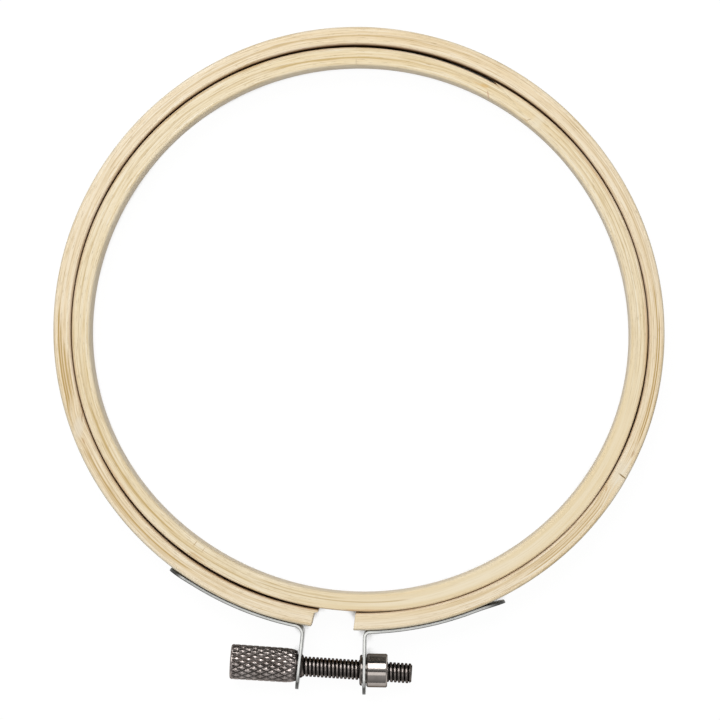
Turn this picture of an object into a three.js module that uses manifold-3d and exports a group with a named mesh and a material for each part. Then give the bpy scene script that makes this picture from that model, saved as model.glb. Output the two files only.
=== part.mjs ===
// Bamboo embroidery hoop, 125 mm (5 in), closed by a thumb screw.
//
// Two bamboo rings lie flat, one inside the other. The outer ring is split. A steel strip is nailed to each
// side of the split and bent outwards into an ear. The thumb screw turns in the left ear and draws it towards
// the nut that is staked into the right ear. The outer ring then closes on the inner one and grips the cloth.
//
// Millimetres. +Z is up, the hoop rests on z = 0, and the clamp is on the -Y side. The origin is the middle
// of the hoop's footprint. Angles go round the rings, from +X towards +Y.

import * as THREE from 'three';
import { mergeVertices } from 'three/addons/utils/BufferGeometryUtils.js';
import Module from 'manifold-3d';

const { degToRad } = THREE.MathUtils;

// Rings
const OUTER_RING_RADIUS = 62.2;
const OUTER_RING_WALL = 3.55;
const INNER_RING_WALL = 3.75;
const RING_HEIGHT = 9;
const RING_EDGE_ROUND = 0.4;
const RING_WAVES = [ // the sprung bamboo stands out of round, by waves of so many crests round the ring
  { crests: 2, height: 0.445, at: degToRad(-9.8) },
  { crests: 3, height: 0.165, at: degToRad(-26.4) },
];
const CLEARANCE_BY_CLAMP = 0.2; // between the rings: the inner one lies nearer to the clamp
const CLEARANCE_OPPOSITE = 0.4;
const RING_STEPS = 120;

// Split of the outer ring
const SPLIT_WIDTH = 8.5;
const CLAMP_X = -1.01; // the split's middle lies a little left of the ring's

// Steel strips and their ears
const STRIP_THICKNESS = 0.64;
const STRIP_WIDTH = 8;
const STRIP_SEAT = 0.1; // clearance between a strip and the ring
const STRIP_ON_RING = 28.4;
const STRIP_TIP_LENGTH = 7; // the last stretch of each strip springs away from the ring
const EAR_SPACING = 12.77; // between the ears, at the screw
const SCREW_FROM_RING = 8.27;

// Thumb screw
const THREAD_RADIUS = 2.05;
const TAIL_LENGTH = 5.05; // beyond the nut
const TAIL_CHAMFER = 0.4;
const HEAD_RADIUS = 3.55;
const HEAD_END_RADIUS = 3.62;
const HEAD_LENGTH = 13.8;
const HEAD_EDGE_ROUND = 0.5;
const HEAD_CROWN = 0.15;
const SHOULDER_LENGTH = 2.6;
const SHOULDER_RADIUS = 2.95;
const SHOULDER_SEAT = 0.2; // clearance between the shoulder and the ear
const KNURL_STARTS = 18; // diamonds round the head
const KNURL_ROW = 1.25; // half a diamond's length
const KNURL_DEPTH = 0.3;
const KNURL_FROM_END = 0.6;
const NECK_RADIUS = 2.4;
const NECK_PAST_EAR = 0.2;
const NECK_CONE = 0.4;
const NECK_CLEARANCE = 0.2; // round the neck in the left ear's hole

// Nut, staked into the right ear
const NUT_RADIUS = 3.58;
const NUT_LENGTH = 4.26;
const NUT_CHAMFER = 0.25;
const NUT_SEAT = 0.15; // clearance on both sides of the ear
const BORE_CLEARANCE = 0.27; // the nut follows the splayed ear, so the screw passes it at a slight angle
const SPIGOT_WALL = 0.35;
const SPIGOT_CLEARANCE = 0.12;
const STAKE_RADIUS = 3.2;
const STAKE_THICKNESS = 0.5;

// Nails
const NAILS_FROM_BEND = [10, 20];
const NAIL_RADIUS = 0.55;
const NAIL_CLEARANCE = 0.15;
const NAIL_POINT = 0.9;
const NAIL_TO_BORE = 0.7; // bamboo left between a nail's hole and the ring's inner wall
const NAIL_HEAD_RADIUS = 1.3;
const NAIL_HEAD_HEIGHT = 0.3;
const NAIL_HEAD_SEAT = 0.1;

// The two sides of the clamp. Each sawn end of the ring leans off square, and each ear splays a little.
const SIDES = [
  {
    name: 'left', side: -1, lean: degToRad(3.2), bendRadius: 1.5,
    tipLift: 0.3, splay: degToRad(2.5), beyondScrew: 4.8,
  },
  {
    name: 'right', side: 1, lean: degToRad(7.5), bendRadius: 0.8,
    tipLift: 0.8, splay: degToRad(2.9), beyondScrew: 5,
  },
];

// Facets: flats on a round side, and steps along a drawn curve
const NAIL_SIDES = 16;
const HOLE_SIDES = 36;
const NUT_SIDES = 40;
const STRIP_END_STEPS = 20;
const PROFILE_STEPS = 6;
const NAIL_DOME_STEPS = 4;

// Places that follow from the sizes above
const OUTER_RING_BORE = OUTER_RING_RADIUS - OUTER_RING_WALL;
const INNER_RING_RADIUS = OUTER_RING_BORE - (CLEARANCE_BY_CLAMP + CLEARANCE_OPPOSITE) / 2;
const INNER_RING_BORE = INNER_RING_RADIUS - INNER_RING_WALL;
const INNER_RING_SHIFT = (CLEARANCE_OPPOSITE - CLEARANCE_BY_CLAMP) / 2;
const SPLIT_AT = -Math.PI / 2 + Math.asin(CLAMP_X / OUTER_RING_BORE);
const MID_HEIGHT = RING_HEIGHT / 2;
const SCREW_Y = ringPoint(OUTER_RING_RADIUS, SPLIT_AT).y - SCREW_FROM_RING;
const NUT_BORE_RADIUS = THREAD_RADIUS + BORE_CLEARANCE;
const SPIGOT_RADIUS = NUT_BORE_RADIUS + SPIGOT_WALL;
const NAIL_DEPTH = OUTER_RING_WALL - NAIL_TO_BORE - NAIL_CLEARANCE;

const BAMBOO = new THREE.MeshStandardMaterial({ color: 0xe6d4b2, roughness: 0.62, metalness: 0 });
const BAMBOO_INNER = new THREE.MeshStandardMaterial({ color: 0xe9d8b6, roughness: 0.6, metalness: 0 });
const PLATED_STRIP = new THREE.MeshStandardMaterial({ color: 0xc4c6c4, roughness: 0.35, metalness: 1 });
const NICKEL = new THREE.MeshStandardMaterial({ color: 0x8d8884, roughness: 0.35, metalness: 1 });

const wasm = await Module();
wasm.setup();

function solidOf(geometry) {
  const bare = geometry.clone();
  bare.deleteAttribute('normal');
  bare.deleteAttribute('uv');
  const merged = mergeVertices(bare);
  const corners = merged.index.array;
  const triangles = [];
  for (let i = 0; i < corners.length; i += 3) {
    const [a, b, c] = corners.slice(i, i + 3);
    if (a !== b && b !== c && c !== a) triangles.push(a, b, c);
  }
  return new wasm.Manifold(new wasm.Mesh({
    numProp: 3,
    vertProperties: new Float32Array(merged.attributes.position.array),
    triVerts: new Uint32Array(triangles),
  }));
}

function geometryOf(solid) {
  const mesh = solid.getMesh();
  const geometry = new THREE.BufferGeometry();
  geometry.setAttribute('position', new THREE.BufferAttribute(mesh.vertProperties, 3));
  geometry.setIndex(new THREE.BufferAttribute(mesh.triVerts, 1));
  geometry.computeVertexNormals();
  return geometry;
}

function cutAway(geometry, cutters) {
  return geometryOf(cutters.reduce((solid, cutter) => solid.subtract(solidOf(cutter)), solidOf(geometry)));
}

function part(name, geometry, material) {
  const mesh = new THREE.Mesh(geometry, material);
  mesh.name = name;
  return mesh;
}

// Turns and moves a geometry so that its X, Y and Z lie along the given directions.
function placed(geometry, origin, x, y, z) {
  const matrix = new THREE.Matrix4().makeBasis(x, y, z).setPosition(origin);
  return geometry.clone().applyMatrix4(matrix);
}

function flat(x, y) {
  return new THREE.Vector3(x, y, 0);
}

const UP = new THREE.Vector3(0, 0, 1);

// The rings' outline: a circle of the given radius, sprung slightly out of round.
function ringRadius(radius, angle) {
  let sum = radius;
  for (const { crests, height, at } of RING_WAVES) sum += height * Math.cos(crests * (angle - at));
  return sum;
}

// How fast that radius grows with the angle.
function ringSlope(angle) {
  let sum = 0;
  for (const { crests, height, at } of RING_WAVES) sum -= crests * height * Math.sin(crests * (angle - at));
  return sum;
}

function ringPoint(radius, angle) {
  const r = ringRadius(radius, angle);
  return flat(r * Math.cos(angle), r * Math.sin(angle));
}

// The direction square to the outer ring's outside, away from the ring.
function ringNormal(angle) {
  const r = ringRadius(OUTER_RING_RADIUS, angle);
  const slope = ringSlope(angle);
  const x = r * Math.cos(angle) + slope * Math.sin(angle);
  const y = r * Math.sin(angle) - slope * Math.cos(angle);
  return flat(x, y).normalize();
}

function ringArc(radius, from, to, steps) {
  return Array.from({ length: steps + 1 }, (_, i) => ringPoint(radius, from + ((to - from) * i) / steps));
}

// A plate of the rings' height whose edges are all slightly rounded.
function roundedPlate(shape) {
  const geometry = new THREE.ExtrudeGeometry(shape, {
    depth: RING_HEIGHT - 2 * RING_EDGE_ROUND,
    bevelEnabled: true,
    bevelThickness: RING_EDGE_ROUND,
    bevelSize: RING_EDGE_ROUND,
    bevelOffset: -RING_EDGE_ROUND,
    bevelSegments: 2,
  });
  return geometry.translate(0, 0, RING_EDGE_ROUND);
}

function makeInnerRing() {
  const shape = new THREE.Shape(ringArc(INNER_RING_RADIUS, 0, 2 * Math.PI, RING_STEPS).slice(1));
  shape.holes.push(new THREE.Path(ringArc(INNER_RING_BORE, 0, 2 * Math.PI, RING_STEPS).slice(1)));
  return part('inner_ring', roundedPlate(shape).translate(0, -INNER_RING_SHIFT, 0), BAMBOO_INNER);
}

function makeOuterRing() {
  const [left, right] = SIDES;
  const endX = ({ side }) => CLAMP_X + (side * SPLIT_WIDTH) / 2;
  const endAt = (strip) => -Math.PI / 2 + Math.asin(endX(strip) / OUTER_RING_BORE);
  const leanOf = ({ lean }) => (Math.tan(lean) * OUTER_RING_WALL) / OUTER_RING_RADIUS;
  const from = endAt(right);
  const to = endAt(left) + 2 * Math.PI;
  const outside = ringArc(OUTER_RING_RADIUS, from - leanOf(right), to - leanOf(left), RING_STEPS);
  const inside = ringArc(OUTER_RING_BORE, from, to, RING_STEPS).reverse();
  const ring = roundedPlate(new THREE.Shape([...outside, ...inside]));
  const holes = SIDES.flatMap((strip) => nailAngles(strip).map((angle) => nailHole(angle)));
  return part('outer_ring', cutAway(ring, holes), BAMBOO);
}

// The bend of a strip: its centre, and where round the ring it lies. The bend touches both the strip's course
// round the ring and the ear's plane, so the angle is found by halving a range that holds it.
function bendOf({ side, bendRadius, splay }) {
  const earAt = flat(CLAMP_X + (side * EAR_SPACING) / 2, SCREW_Y);
  const earOut = flat(side * Math.cos(splay), Math.sin(splay));
  const earDown = flat(side * Math.sin(splay), -Math.cos(splay));
  const fromRing = STRIP_SEAT + STRIP_THICKNESS + bendRadius;
  const centreAt = (angle) =>
    ringPoint(OUTER_RING_RADIUS, angle).addScaledVector(ringNormal(angle), fromRing);
  const tooFar = (angle) => centreAt(angle).sub(earAt).dot(earOut) > STRIP_THICKNESS + bendRadius;
  let near = SPLIT_AT;
  let far = SPLIT_AT + (side * Math.PI) / 3;
  for (let i = 0; i < 50; i += 1) {
    const middle = (near + far) / 2;
    if (tooFar(middle)) far = middle;
    else near = middle;
  }
  return { angle: near, centre: centreAt(near), earAt, earOut, earDown };
}

function nailAngles(strip) {
  const { angle } = bendOf(strip);
  return NAILS_FROM_BEND.map((distance) => angle + (strip.side * distance) / OUTER_RING_RADIUS);
}

// Both faces of a strip, from its free tip round the ring, through the bend and down the ear.
function stripFaces(strip) {
  const { side, bendRadius, tipLift, beyondScrew } = strip;
  const { angle, centre, earAt, earOut, earDown } = bendOf(strip);
  const inner = [];
  const outer = [];
  const wrapSteps = 14;
  for (let i = 0; i <= wrapSteps; i += 1) {
    const along = STRIP_ON_RING * (1 - i / wrapSteps);
    const at = angle + (side * along) / OUTER_RING_RADIUS;
    const intoTip = Math.max(0, along - (STRIP_ON_RING - STRIP_TIP_LENGTH)) / STRIP_TIP_LENGTH;
    const lift = STRIP_SEAT + tipLift * intoTip ** 2;
    inner.push(ringPoint(OUTER_RING_RADIUS, at).addScaledVector(ringNormal(at), lift));
    outer.push(ringPoint(OUTER_RING_RADIUS, at).addScaledVector(ringNormal(at), lift + STRIP_THICKNESS));
  }
  const start = ringNormal(angle).negate();
  const bend = Math.PI - start.angleTo(earOut);
  const bendSteps = 7;
  for (let i = 1; i <= bendSteps; i += 1) {
    const spoke = start.clone().applyAxisAngle(UP, (side * bend * i) / bendSteps);
    inner.push(centre.clone().addScaledVector(spoke, bendRadius + STRIP_THICKNESS));
    outer.push(centre.clone().addScaledVector(spoke, bendRadius));
  }
  const tip = earAt.clone().addScaledVector(earDown, beyondScrew);
  inner.push(tip);
  outer.push(tip.clone().addScaledVector(earOut, STRIP_THICKNESS));
  return { inner, outer };
}

// What is cut away to round the end of a strip: all that lies beyond a half circle of the strip's width.
// X runs along the strip to its end, Y across it, and Z through its thickness.
function endCutter() {
  const half = STRIP_WIDTH / 2;
  const margin = 1;
  const shape = new THREE.Shape();
  shape.moveTo(0, half);
  shape.lineTo(0, half + margin);
  shape.lineTo(half + margin, half + margin);
  shape.lineTo(half + margin, -half - margin);
  shape.lineTo(0, -half - margin);
  shape.lineTo(0, -half);
  shape.absarc(0, 0, half, -Math.PI / 2, Math.PI / 2, false);
  const depth = STRIP_THICKNESS + 2 * margin;
  const options = { depth, bevelEnabled: false, curveSegments: STRIP_END_STEPS };
  return new THREE.ExtrudeGeometry(shape, options).translate(0, 0, -depth / 2);
}

// A profile drawn as (radius, distance along X), turned round the X axis.
function turned(profile, segments, steps = PROFILE_STEPS) {
  return new THREE.LatheGeometry(profile.getPoints(steps), segments).rotateZ(-Math.PI / 2);
}

// A round rod along X, from one place to another.
function rod(radius, from, to, sides) {
  const length = to - from;
  const geometry = new THREE.CylinderGeometry(radius, radius, length, sides);
  return geometry.rotateZ(-Math.PI / 2).translate(from + length / 2, 0, 0);
}

// Places what is drawn with X pointing out of the ring, with X = 0 on the ring's outside at mid height.
function onRing(geometry, angle) {
  const out = ringNormal(angle);
  const origin = ringPoint(OUTER_RING_RADIUS, angle).setZ(MID_HEIGHT);
  return placed(geometry, origin, out, UP.clone().cross(out), UP);
}

function nailHole(angle) {
  const beyond = STRIP_SEAT + 2 * STRIP_THICKNESS;
  return onRing(rod(NAIL_RADIUS + NAIL_CLEARANCE, -NAIL_DEPTH - NAIL_CLEARANCE, beyond, NAIL_SIDES), angle);
}

function makeNail(name, angle) {
  const under = STRIP_SEAT + STRIP_THICKNESS + NAIL_HEAD_SEAT;
  const profile = new THREE.Path();
  profile.moveTo(0, -NAIL_DEPTH);
  profile.lineTo(NAIL_RADIUS, -NAIL_DEPTH + NAIL_POINT);
  profile.lineTo(NAIL_RADIUS, under);
  profile.lineTo(NAIL_HEAD_RADIUS, under);
  profile.lineTo(NAIL_HEAD_RADIUS, under + NAIL_HEAD_HEIGHT / 3);
  profile.quadraticCurveTo(NAIL_HEAD_RADIUS * 0.8, under + NAIL_HEAD_HEIGHT, 0, under + NAIL_HEAD_HEIGHT);
  return part(name, onRing(turned(profile, NAIL_SIDES, NAIL_DOME_STEPS), angle), NICKEL);
}

function makeBracket(strip, holeRadius) {
  const { inner, outer } = stripFaces(strip);
  const { earAt, earOut, earDown } = bendOf(strip);
  const shape = new THREE.Shape([...inner, ...[...outer].reverse()]);
  const blank = new THREE.ExtrudeGeometry(shape, { depth: STRIP_WIDTH, bevelEnabled: false });
  blank.translate(0, 0, MID_HEIGHT - STRIP_WIDTH / 2);

  const half = STRIP_WIDTH / 2;
  const earMiddle = earAt.clone().addScaledVector(earOut, STRIP_THICKNESS / 2).setZ(MID_HEIGHT);
  const earEnd = earMiddle.clone().addScaledVector(earDown, strip.beyondScrew - half);
  const tipRun = inner[0].clone().sub(inner[1]).normalize();
  const tipMiddle = inner[0].clone().add(outer[0]).multiplyScalar(0.5).setZ(MID_HEIGHT);
  const tipEnd = tipMiddle.addScaledVector(tipRun, -half);
  const across = rod(holeRadius, -STRIP_THICKNESS, STRIP_THICKNESS, HOLE_SIDES);
  const cutters = [
    placed(across, earMiddle, earOut, earDown, earOut.clone().cross(earDown)),
    placed(endCutter(), earEnd, earDown, UP, earDown.clone().cross(UP)),
    placed(endCutter(), tipEnd, tipRun, UP, tipRun.clone().cross(UP)),
    ...nailAngles(strip).map((angle) => nailHole(angle)),
  ];
  return part(`${strip.name}_bracket`, cutAway(blank, cutters), PLATED_STRIP);
}

// Presses a diamond knurl into a turned piece. In the given rows of the lathe's grid every other point goes
// in. Each square of the grid is split along its two low corners, so that the grooves run aslant from one low
// point to the next. X runs along the piece, and the grid's points are numbered column by column.
function knurled(geometry, rows, fromRow, toRow, depth) {
  const place = geometry.attributes.position;
  const low = (column, row) => row >= fromRow && row <= toRow && (column + row) % 2 === 1;
  const columns = place.count / rows;
  const triangles = [];
  for (let column = 0; column < columns; column += 1) {
    for (let row = 0; row < rows; row += 1) {
      const number = column * rows + row;
      if (low(column, row)) {
        const y = place.getY(number);
        const z = place.getZ(number);
        const share = 1 - depth / Math.hypot(y, z);
        place.setXYZ(number, place.getX(number), y * share, z * share);
      }
      if (column + 1 < columns && row + 1 < rows) {
        const [a, b, c, d] = [number, number + rows, number + rows + 1, number + 1];
        if (low(column, row)) triangles.push(a, b, c, c, d, a);
        else triangles.push(a, b, d, c, d, b);
      }
    }
  }
  return geometry.setIndex(triangles);
}

// X = 0 is the outer face of the left ear, at the screw.
function makeThumbScrew() {
  const shoulder = -SHOULDER_SEAT;
  const end = shoulder - HEAD_LENGTH;
  const crown = end + HEAD_CROWN;
  const neckEnd = STRIP_THICKNESS + NECK_PAST_EAR;
  const nutEnd = 2 * STRIP_THICKNESS + EAR_SPACING + NUT_SEAT + NUT_LENGTH;
  const tail = nutEnd + TAIL_LENGTH;
  const profile = new THREE.Path();
  profile.moveTo(0, end);
  profile.lineTo(HEAD_END_RADIUS - HEAD_EDGE_ROUND, crown);
  profile.quadraticCurveTo(HEAD_END_RADIUS, crown, HEAD_END_RADIUS, crown + HEAD_EDGE_ROUND);
  const rowsBefore = profile.getPoints(PROFILE_STEPS).length;
  const knurlStart = crown + KNURL_FROM_END;
  const knurlRows = Math.floor((shoulder - SHOULDER_LENGTH - knurlStart) / KNURL_ROW);
  for (let i = 0; i <= knurlRows; i += 1) {
    const at = knurlStart + i * KNURL_ROW;
    const share = (at - end) / (HEAD_LENGTH - SHOULDER_LENGTH);
    profile.lineTo(HEAD_END_RADIUS + (HEAD_RADIUS - HEAD_END_RADIUS) * share, at);
  }
  profile.lineTo(HEAD_RADIUS, shoulder - SHOULDER_LENGTH);
  profile.quadraticCurveTo(HEAD_RADIUS, shoulder - SHOULDER_LENGTH / 3, SHOULDER_RADIUS, shoulder);
  profile.lineTo(NECK_RADIUS, shoulder);
  profile.lineTo(NECK_RADIUS, neckEnd);
  profile.lineTo(THREAD_RADIUS, neckEnd + NECK_CONE);
  profile.lineTo(THREAD_RADIUS, tail - TAIL_CHAMFER);
  profile.lineTo(THREAD_RADIUS - TAIL_CHAMFER, tail);
  profile.lineTo(0, tail);
  const rows = profile.getPoints(PROFILE_STEPS).length;
  const blank = turned(profile, 2 * KNURL_STARTS);
  const screw = knurled(blank, rows, rowsBefore + 1, rowsBefore + knurlRows - 1, KNURL_DEPTH);
  screw.computeVertexNormals();
  return part('thumb_screw', screw, NICKEL);
}

// X = 0 is the middle of the right ear's thickness.
function makeBarrelNut() {
  const face = STRIP_THICKNESS / 2 + NUT_SEAT;
  const end = face + NUT_LENGTH;
  const stakeEnd = -face - STAKE_THICKNESS;
  const profile = new THREE.Path();
  profile.moveTo(NUT_BORE_RADIUS, stakeEnd);
  profile.lineTo(STAKE_RADIUS - NUT_CHAMFER, stakeEnd);
  profile.lineTo(STAKE_RADIUS, stakeEnd + NUT_CHAMFER);
  profile.lineTo(STAKE_RADIUS, -face);
  profile.lineTo(SPIGOT_RADIUS, -face);
  profile.lineTo(SPIGOT_RADIUS, face);
  profile.lineTo(NUT_RADIUS - NUT_CHAMFER, face);
  profile.lineTo(NUT_RADIUS, face + NUT_CHAMFER);
  profile.lineTo(NUT_RADIUS, end - NUT_CHAMFER);
  profile.lineTo(NUT_RADIUS - NUT_CHAMFER, end);
  profile.lineTo(NUT_BORE_RADIUS, end);
  profile.lineTo(NUT_BORE_RADIUS, stakeEnd);
  return part('barrel_nut', turned(profile, NUT_SIDES), NICKEL);
}

function makeHoop() {
  const hoop = new THREE.Group();
  const [left, right] = SIDES;
  hoop.add(makeOuterRing(), makeInnerRing());
  hoop.add(makeBracket(left, NECK_RADIUS + NECK_CLEARANCE));
  hoop.add(makeBracket(right, SPIGOT_RADIUS + SPIGOT_CLEARANCE));

  const screw = makeThumbScrew();
  screw.position.set(CLAMP_X - EAR_SPACING / 2 - STRIP_THICKNESS, SCREW_Y, MID_HEIGHT);
  hoop.add(screw);

  const nut = makeBarrelNut();
  const { earAt, earOut } = bendOf(right);
  nut.position.copy(earAt).addScaledVector(earOut, STRIP_THICKNESS / 2).setZ(MID_HEIGHT);
  nut.rotation.z = right.splay;
  hoop.add(nut);

  for (const strip of SIDES) {
    nailAngles(strip).forEach((angle, i) => hoop.add(makeNail(`${strip.name}_nail_${i + 1}`, angle)));
  }

  const box = new THREE.Box3().setFromObject(hoop);
  hoop.position.y = -(box.min.y + box.max.y) / 2;
  return hoop;
}

export default makeHoop();
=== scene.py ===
"""Looks of a bamboo embroidery hoop: two nested rings, the outer one drawn shut by a knurled thumb screw.

Metres, in the frame of the solid model: +Z up, the hoop flat on z = 0, the clamp on the -Y side. Angles go
round the rings from +X towards +Y. Shapes are surfaces on grids of points, worked out as whole arrays.
"""

import math

import bmesh
import bpy
import numpy as np
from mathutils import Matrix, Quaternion, Vector


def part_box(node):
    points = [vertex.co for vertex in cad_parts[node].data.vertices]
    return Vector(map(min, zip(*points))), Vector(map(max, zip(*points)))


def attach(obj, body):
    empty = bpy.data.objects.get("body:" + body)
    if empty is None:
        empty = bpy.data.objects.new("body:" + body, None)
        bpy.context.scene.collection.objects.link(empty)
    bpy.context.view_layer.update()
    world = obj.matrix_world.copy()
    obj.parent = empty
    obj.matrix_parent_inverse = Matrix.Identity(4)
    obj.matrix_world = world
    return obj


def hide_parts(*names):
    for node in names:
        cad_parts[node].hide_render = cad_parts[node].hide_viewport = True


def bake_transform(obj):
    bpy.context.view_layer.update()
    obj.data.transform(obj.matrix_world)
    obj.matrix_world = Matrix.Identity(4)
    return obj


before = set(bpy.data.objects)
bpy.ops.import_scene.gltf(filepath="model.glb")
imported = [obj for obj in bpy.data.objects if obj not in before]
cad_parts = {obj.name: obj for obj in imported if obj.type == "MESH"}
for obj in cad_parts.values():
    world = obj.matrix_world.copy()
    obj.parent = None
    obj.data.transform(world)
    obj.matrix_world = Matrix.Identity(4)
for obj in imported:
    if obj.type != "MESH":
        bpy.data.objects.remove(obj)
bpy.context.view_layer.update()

MM = 0.001

# Rings. The bent bamboo isn't a true circle: waves are added to it, each with a number of crests round
# the ring, a height, and the angle of one crest. The two bores and the gap have further waves of their own
OUTER_RADIUS = 62.175 * MM
OUTER_WALL = 3.49 * MM
INNER_RADIUS = 58.375 * MM
INNER_WALL = 3.75 * MM
RING_HEIGHT = 9 * MM
OUTER_RING_EDGES = (0.5 * MM, 0.6 * MM)  # sanded edges, at the bore and outside
INNER_RING_EDGES = (0.6 * MM, 0.25 * MM)
RING_WAVES = [(2, 0.445 * MM, math.radians(-9.8)), (3, 0.165 * MM, math.radians(-26.4))]
BORE_WAVES = [(1, 0.166 * MM, math.radians(-5)), (2, 0.127 * MM, math.radians(-14)),
              (3, 0.034 * MM, 0), (4, 0.042 * MM, math.radians(-45))]
GAP_MEAN = 0.315 * MM
GAP_WAVES = [(1, 0.091 * MM, math.radians(126.9)), (2, 0.123 * MM, math.radians(78.3)),
             (3, 0.065 * MM, math.radians(-3.5)), (4, 0.071 * MM, math.radians(-21.2))]
# Places where the gap is narrower than its waves make it, or wider where the size is below 0
CONTACTS = [(math.radians(-76), 0.11 * MM), (math.radians(-36), 0.1 * MM), (math.radians(-14), -0.08 * MM)]
CONTACT_SPREAD = math.radians(8)
INNER_BORE_WAVES = [(1, 0.311 * MM, math.radians(-29.9)), (2, 0.255 * MM, math.radians(2.7)),
                    (3, 0.058 * MM, math.radians(-57.8)), (4, 0.037 * MM, math.radians(17)),
                    (5, 0.07 * MM, math.radians(-12.9))]
PLANED_WAVE = 0.04 * MM  # the planed face outside isn't quite even
PLANED_CRESTS = (5, 11, 23)
PLANED_START = 0.7
GRAIN_RADIUS = 60 * MM  # angles along the grain are turned to lengths at this radius
FIBRE_FLATNESS = 0.3  # fibres are narrower across the wall than up and down, by this factor

# Split of the outer ring, and the scarf joint of the inner one
SPLIT_WIDTH = 8.5 * MM
CLAMP_X = -1.01 * MM
SAWN_EDGE = 0.18 * MM
LIP_LENGTH = 0.75 * MM  # sliver that the saw left on the left end, along the bore
LIP_THICKNESS = 0.5 * MM
LIP_ROOT = 0.05  # share of the wall over which the sliver grows out of the sawn face
SCARF_OUTSIDE = math.radians(65)
SCARF_INSIDE = math.radians(53)
SCARF_EDGE = 0.015 * MM
SCARF_STEP = 0.29 * MM  # the lower end lies that much further in, over the angle below
SCARF_STEP_FADE = math.radians(20)
SEAM = math.radians(90)  # where the two halves of the outer ring meet
SEAM_EDGE = 0.01 * MM

# Steel strips
STRIP_THICKNESS = 0.64 * MM
STRIP_WIDTH = 8 * MM
STRIP_EDGE = 0.12 * MM
STRIP_SEAT = 0.1 * MM
STRIP_ON_RING = 28.4 * MM
STRIP_TIP_LENGTH = 7 * MM
# How much of its own colour a strip's edge keeps, by the distance from its free tip and from its ear's end;
# the rest is painted shade, darkest at its cut tips
STRIP_UNSHADED = {0: 0, 1 * MM: 0.03, 2.2 * MM: 0.25, 4 * MM: 0.42, 8 * MM: 0.5, 26 * MM: 0.62, 31 * MM: 1}
EAR_UNSHADED = {0: 0.03, 1.5 * MM: 0.12, 2 * MM: 1}
BROAD_FACE_SHINE = 0.34
EAR_SPACING = 12.77 * MM
SCREW_FROM_RING = 8.27 * MM
STRIPS = {
    "left": {"side": -1, "lean": math.radians(3.2), "bend_radius": 1.5 * MM, "tip_lift": 0.3 * MM,
             "splay": math.radians(2.5), "beyond_screw": 4.8 * MM},
    "right": {"side": 1, "lean": math.radians(7.5), "bend_radius": 0.8 * MM, "tip_lift": 0.8 * MM,
              "splay": math.radians(2.9), "beyond_screw": 5.0 * MM},
}  # lean: how far the ring's sawn end on that side leans off square

# Thumb screw
THREAD_RADIUS = 2.06 * MM
THREAD_PITCH = 0.79375 * MM
THREAD_DEPTH = 0.37 * MM
THREAD_CREST = 0.5  # flat shares of the thread's wave, at its crests and at its roots
THREAD_ROOT = 0.15
THREAD_SHINE = 0.31
THREAD_START_UNSHADED = 0.35  # share of that on the neck and at the cone's start, rising to all of it where the thread begins; the rest is painted shade
TAIL_LENGTH = 5.05 * MM
TAIL_CHAMFER = 0.4 * MM
HEAD_RADIUS = 3.55 * MM
HEAD_END_RADIUS = 3.62 * MM
HEAD_LENGTH = 13.8 * MM
HEAD_EDGE = 0.5 * MM
HEAD_CROWN = 0.15 * MM
SHOULDER_LENGTH = 2.6 * MM
SHOULDER_RADIUS = 3.25 * MM
SHOULDER_CURVE = 2.2
SHOULDER_SEAT = 0.2 * MM
COLLAR_LENGTH = 0.3 * MM
COLLAR_RADIUS = 3.15 * MM
COLLAR_CHAMFER = 0.08 * MM
# share of its own colour that the collar keeps; the rest is painted shade
COLLAR_UNSHADED = 0.3
COLLAR_SHADE_AHEAD = 0.1 * MM  # the collar's painted shade starts that far before the collar
NECK_RADIUS = 2.4 * MM
NECK_PAST_EAR = 0.2 * MM
NECK_CONE = 0.4 * MM
NECK_CLEARANCE = 0.2 * MM
KNURL_STARTS = 17
KNURL_DIAMOND = 2.5 * MM  # length of one diamond along the head
KNURL_DEPTH = 0.32 * MM
KNURL_FLAT = 0.65  # height of the crossed waves above which the diamonds are flat
KNURL_FADE = 0.8 * MM  # the grooves reach their depth over that length
KNURL_AT_SHOULDER = 0.6  # share of the depth that is left where the head narrows

# Nut
NUT_RADIUS = 3.47 * MM
NUT_LENGTH = 4.26 * MM
NUT_CHAMFER = 0.25 * MM
NUT_SEAT = 0.15 * MM
NUT_BORE_RADIUS = 2.42 * MM  # clear of the thread, although the nut leans with its ear
SPIGOT_RADIUS = 2.67 * MM
SPIGOT_CLEARANCE = 0.12 * MM
STAKE_RADIUS = 3.2 * MM
STAKE_THICKNESS = 0.5 * MM
# share of its own colour that the peened flange keeps; the rest is painted shade
STAKE_UNSHADED = 0.45
PEEN_ROUND = 0.4 * MM  # the flange was hammered over, which rounds its rim
NUT_EDGE = 0.05 * MM

# Nails
NAILS_FROM_BEND = [10 * MM, 20 * MM]
NAIL_RADIUS = 0.55 * MM
NAIL_HOLE_RADIUS = 0.7 * MM
NAIL_DEPTH = 2.7 * MM
NAIL_POINT = 0.9 * MM
NAIL_HEAD_RADIUS = 1.3 * MM
NAIL_HEAD_HEIGHT = 0.2 * MM
NAIL_RIM_HEIGHT = 0.07 * MM
NAIL_HEAD_TAPER = 0.97  # the head's underside is that share of its width
NAIL_FLARE = 0.05 * MM  # the shank widens by that much just under the head
NAIL_FLARE_LENGTH = 0.1 * MM
NAIL_HEAD_SEAT = 0.05 * MM

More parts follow.
